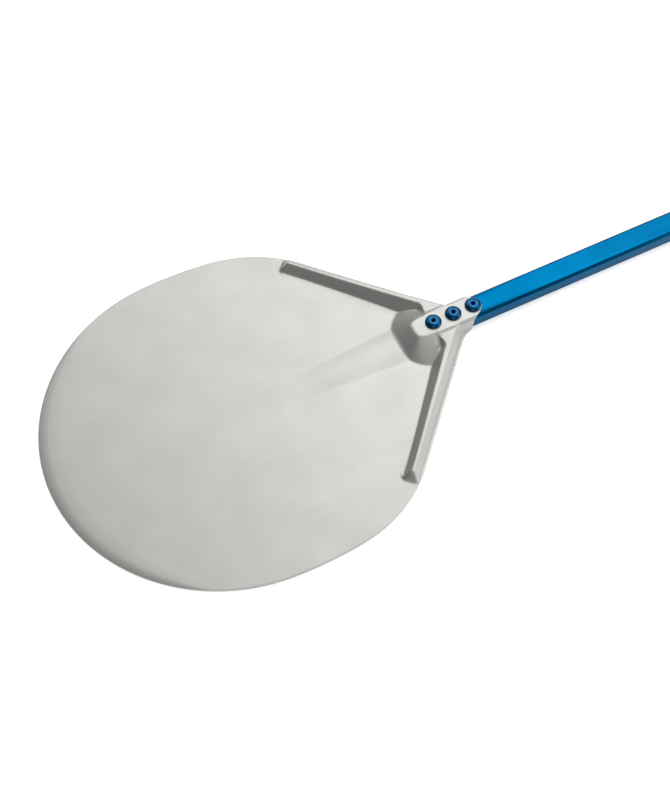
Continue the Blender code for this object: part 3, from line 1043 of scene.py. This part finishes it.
@dataclass
class BlindRivet:
    """Set blind rivet: a turned body whose head is domed round its bore, and its stem."""

    node: str
    stem_node: str
    place: Vector
    grip: float
    head_radius: float = 0.00825
    head_rise: float = 0.0037
    bore: float = 0.00155
    lip: float = 0.0019
    bore_depth: float = 0.0010
    rim: float = 0.0006
    shank: float = 0.0024
    stem: float = 0.00125
    stem_drop: float = 0.0005
    tail: float = 0.0036
    tail_length: float = 0.0045
    stem_head: float = 0.0008
    lip_steps: int = 8
    dome_steps: int = 18
    rim_steps: int = 4
    tail_steps: int = 12

    def head(self) -> list[Point]:
        """Section (radius, height) of the head, from its bore out to its underside."""
        crown = self.bore + self.lip
        points = []
        for step in range(self.lip_steps + 1):
            turn = math.pi / 2 * step / self.lip_steps
            points.append((crown - self.lip * math.cos(turn),
                           self.head_rise - self.bore_depth * (1 - math.sin(turn))))
        for step in range(1, self.dome_steps + 1):
            turn = math.pi / 2 * step / self.dome_steps
            wide = crown + (self.head_radius - crown) * math.sin(turn)
            points.append((wide, self.rim + (self.head_rise - self.rim) * math.cos(turn)))
        for step in range(1, self.rim_steps + 1):
            turn = math.pi / 2 * step / self.rim_steps
            inset = self.rim / 2 * (1 - math.cos(turn))
            points.append((self.head_radius - inset, self.rim * (1 - math.sin(turn))))
        return points

    def body(self) -> list[Point]:
        """Section (radius, height) of the whole body, closed round the bore's wall."""
        foot = -self.grip - self.tail_length
        points = self.head() + [(self.shank, 0.0), (self.shank, -self.grip)]
        for step in range(1, self.tail_steps):
            bulge = math.sqrt(math.sin(math.pi * step / self.tail_steps))
            points.append((self.shank + (self.tail - self.shank) * bulge,
                           -self.grip - self.tail_length * step / self.tail_steps))
        return points + [(self.shank, foot), (self.bore, foot)]

    def mandrel(self) -> list[Point]:
        """Section (radius, height) of the stem: torn end above, round head below."""
        seat = -self.grip - self.tail_length - GAP
        wide = self.stem + self.stem_head
        torn = -self.stem_drop
        return [
            (0.0, torn), (self.stem * 0.55, torn), (self.stem * 0.9, torn - 0.0002),
            (self.stem, torn - 0.0005), (self.stem, seat), (wide - 0.0001, seat),
            (wide, seat - 0.0002), (wide, seat - 0.0008), (wide - 0.0004, seat - 0.0013),
            (self.stem * 0.8, seat - 0.00155), (0.0, seat - 0.0016),
        ]

    def build(self, blue: bpy.types.Material, steel: bpy.types.Material) -> None:
        """Build and dress the body and its stem.

        Args:
            blue: Finish of the body.
            steel: Finish of the stem.
        """
        body = turned(f"blue_{self.node}", self.body(), self.place, True)
        finish_piece(body, self.node, [blue], sharp=40)
        stem = turned(f"steel_{self.stem_node}", self.mandrel(), self.place, False)
        finish_piece(stem, self.stem_node, [steel], sharp=40)


# --- end cap -------------------------------------------------------------------------


@dataclass
class EndCap:
    """Moulded plug: a round-ended block with a hanging hole and a tongue in the tube."""

    tube: HandleTube
    rivet_spot: Point
    end: float = 0.8700
    tongue_length: float = 0.0350
    hole: float = 0.0050
    hole_round: float = 0.0008
    edge_round: float = 0.0028
    tail_room: float = 0.0039
    tail_room_top: float = 0.0110
    tail_room_low: float = -0.01
    round_steps: int = 48
    mouth_steps: int = 6

    def block(self) -> bpy.types.Object:
        """Block outside the tube, with rounded edges; build cuts the hanging hole in it later."""
        half = self.tube.width / 2
        start = self.tube.end + GAP
        centre_x = self.end - half
        builder = bmesh.new()
        disc = bmesh.ops.create_circle(builder, cap_ends=True, segments=2 * self.round_steps,
                                       radius=half, matrix=Matrix.Translation((centre_x, 0, 0)))
        for vertex in disc["verts"]:
            if vertex.co.x < centre_x - WELD:
                vertex.co.x = start
                vertex.co.y = math.copysign(half, vertex.co.y) if abs(vertex.co.y) > WELD else 0.0
        bmesh.ops.remove_doubles(builder, verts=builder.verts, dist=WELD)
        pull(builder, (0, 0, self.tube.height))
        bmesh.ops.recalc_face_normals(builder, faces=builder.faces)
        rounded = [edge for edge in builder.edges
                   if abs(edge.verts[0].co.z - edge.verts[1].co.z) < WELD
                   and max(vertex.co.x for vertex in edge.verts) > start + WELD]
        bmesh.ops.bevel(builder, geom=rounded, offset=self.edge_round, offset_type="OFFSET",
                        segments=8, profile=0.5, affect="EDGES", material=-1)
        return mesh_object("black_end_cap", builder)

    def tongue(self) -> bpy.types.Object:
        """Temporary solid of the tongue that fits inside the tube."""
        builder = bmesh.new()
        self.tube.ring(builder, self.tube.wall + GAP, self.tube.end - self.tongue_length)
        bmesh.ops.contextual_create(builder, geom=builder.edges[:])
        pull(builder, (self.tongue_length + PAST, 0, 0))
        return mesh_object("tongue", builder)

    def build(self, polymer: bpy.types.Material) -> None:
        """Build the cap and dress it in its polymer."""
        cap = self.block()
        carve(cap, self.tongue(), Solid.ADD)
        hang = (self.end - self.tube.width / 2, 0.0)
        carve(cap, self.hanging_hole(hang), Solid.CUT)
        carve(cap, upright_pins([self.rivet_spot], self.tube.shank_hole), Solid.CUT)
        room = upright_pins([self.rivet_spot], self.tail_room, self.tail_room_low, self.tail_room_top)
        carve(cap, room, Solid.CUT)
        finish_piece(cap, "end_cap", [polymer], sharp=35)

    def hanging_hole(self, centre: Point) -> bpy.types.Object:
        """Temporary solid that cuts the hanging hole with rounded mouths.

        Args:
            centre: Place of the hole, seen from above.

        Returns:
            The solid.
        """
        top = self.tube.height
        mouth = []
        for step in range(self.mouth_steps + 1):
            turn = math.pi / 2 * step / self.mouth_steps
            mouth.append((self.hole + self.hole_round * (1 - math.cos(turn)),
                          self.hole_round * (1 - math.sin(turn))))
        wide = self.hole + self.hole_round
        upper = [(radius, top - height) for radius, height in mouth]
        profile = [(0.0, -PAST), (wide, -PAST)] + mouth[::-1] + upper
        profile += [(wide, top + PAST), (0.0, top + PAST)]
        return turned("hole", profile, Vector((*centre, 0)), False)


# --- studio --------------------------------------------------------------------------


@dataclass(frozen=True)
class SoftBox:
    """Square soft box on a dome round the peel: its direction and its brightness."""

    name: str
    elevation: float
    azimuth: float
    radiance: float
    size: float = 0.85
    distance: float = 2.0
    aim: tuple[float, float, float] = (0.15, 0.0, 0.0)

    def hang(self) -> None:
        """Add the light to the scene."""
        lamp = bpy.data.lights.new(self.name, "AREA")
        lamp.shape = "SQUARE"
        lamp.size = self.size
        lamp.energy = self.radiance * math.pi * self.size ** 2
        elevation = math.radians(self.elevation)
        azimuth = math.radians(self.azimuth)
        towards = Vector((math.cos(elevation) * math.cos(azimuth),
                          math.cos(elevation) * math.sin(azimuth), math.sin(elevation)))
        item = bpy.data.objects.new(self.name, lamp)
        item.location = Vector(self.aim) + self.distance * towards
        item.rotation_euler = (-towards).to_track_quat("-Z", "Y").to_euler()
        bpy.context.scene.collection.objects.link(item)


@dataclass(frozen=True)
class Studio:
    """Pale floor, soft light and the camera."""

    eye: tuple[float, float, float] = (-0.2352, -0.7651, 1.3210)
    right: tuple[float, float, float] = (0.8957, -0.4443, -0.0182)
    down: tuple[float, float, float] = (-0.3872, -0.7590, -0.5234)
    forward: tuple[float, float, float] = (0.2188, 0.4758, -0.8519)
    lens: float = 72.0
    sensor: float = 36.0
    sky: float = 0.15
    floor_size: float = 30.0
    floor_drop: float = 0.0002
    boxes: tuple[SoftBox, ...] = (
        SoftBox("top", 65, 45, 3.8),
        SoftBox("top_right", 65, 0, 1.8),
        SoftBox("handle_side", 42, 0, 1.2),
        SoftBox("far_right", 42, 36, 2.9),
        SoftBox("far", 42, 72, 3.1),
        SoftBox("far_left", 42, 108, 1.6),
        SoftBox("near", 42, 252, 2.9),
        SoftBox("low_right", 20, 324, 5.4),
    )

    def floor(self, paper: bpy.types.Material) -> None:
        """Lay the floor just under the peel.

        Args:
            paper: Its finish.
        """
        builder = bmesh.new()
        place = Matrix.Translation((0, 0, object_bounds()[0][2] - self.floor_drop))
        bmesh.ops.create_grid(builder, x_segments=4, y_segments=4, size=self.floor_size, matrix=place)
        mesh = bpy.data.meshes.new("studio_floor")
        builder.to_mesh(mesh)
        builder.free()
        mesh.materials.append(paper)
        item = bpy.data.objects.new("studio_floor", mesh)
        bpy.context.scene.collection.objects.link(item)
        item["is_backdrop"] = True

    def camera(self) -> None:
        """Set up the camera."""
        lens = bpy.data.cameras.new("camera")
        lens.lens = self.lens
        lens.sensor_width = self.sensor
        lens.clip_start = 0.01
        item = bpy.data.objects.new("camera", lens)
        axes = Matrix((self.right, [-part for part in self.down], [-part for part in self.forward]))
        item.matrix_world = Matrix.Translation(self.eye) @ axes.transposed().to_4x4()
        bpy.context.scene.collection.objects.link(item)
        bpy.context.scene.camera = item

    def set_up(self) -> None:
        """Add the floor, the lights and the camera."""
        scene = bpy.context.scene
        scene.view_settings.view_transform = "Standard"
        world = bpy.data.worlds.new("studio")
        world.use_nodes = True
        background = world.node_tree.nodes["Background"]
        background.inputs["Color"].default_value = (1.0, 1.0, 1.0, 1.0)
        background.inputs["Strength"].default_value = self.sky
        scene.world = world
        self.floor(StudioPaper().make())
        for box in self.boxes:
            box.hang()
        self.camera()


def main() -> None:
    """Build the peel and its studio."""
    logging.basicConfig(level=logging.INFO, format="%(name)s %(message)s")
    satin = SatinSheet().make()
    # The bevel's darker grey is partly the ground metal's own tone and partly painted shade.
    ground = GroundEdgeAndShade().make()
    blue = BlueAnodised().make()
    rivet_blue = BlueRivet().make()
    steel = StemSteel().make()
    polymer = CapPolymer().make()

    neck_rivets = [f"neck_rivet_{number}" for number in (1, 2, 3)]
    neck_spots = [tuple(box_centre(node).xy) for node in neck_rivets]
    cap_spot = tuple(box_centre("cap_rivet").xy)

    press = BladePress(BladePlan())
    Blade(press, neck_spots).build(satin, ground)
    tube = HandleTube(neck_spots + [cap_spot])
    tube.build(blue)
    top = press.sheet + press.neck_rise
    grip = top - tube.height + tube.wall + 2 * GAP
    for number, (node, spot) in enumerate(zip(neck_rivets, neck_spots), start=1):
        place = Vector((*spot, top + GAP))
        rivet = BlindRivet(node, f"rivet_stem_{number}", place, grip)
        rivet.build(rivet_blue, steel)
    cap = EndCap(tube, cap_spot)
    cap.build(polymer)
    small = BlindRivet("cap_rivet", "cap_rivet_stem", Vector((*cap_spot, tube.height + GAP)),
                       tube.height - cap.tail_room_top + 2 * GAP, head_radius=0.00475,
                       head_rise=0.0015, lip=0.0006, bore_depth=0.0003, rim=0.0004)
    small.build(rivet_blue, steel)
    Studio().set_up()


if __name__ == "__main__":
    main()
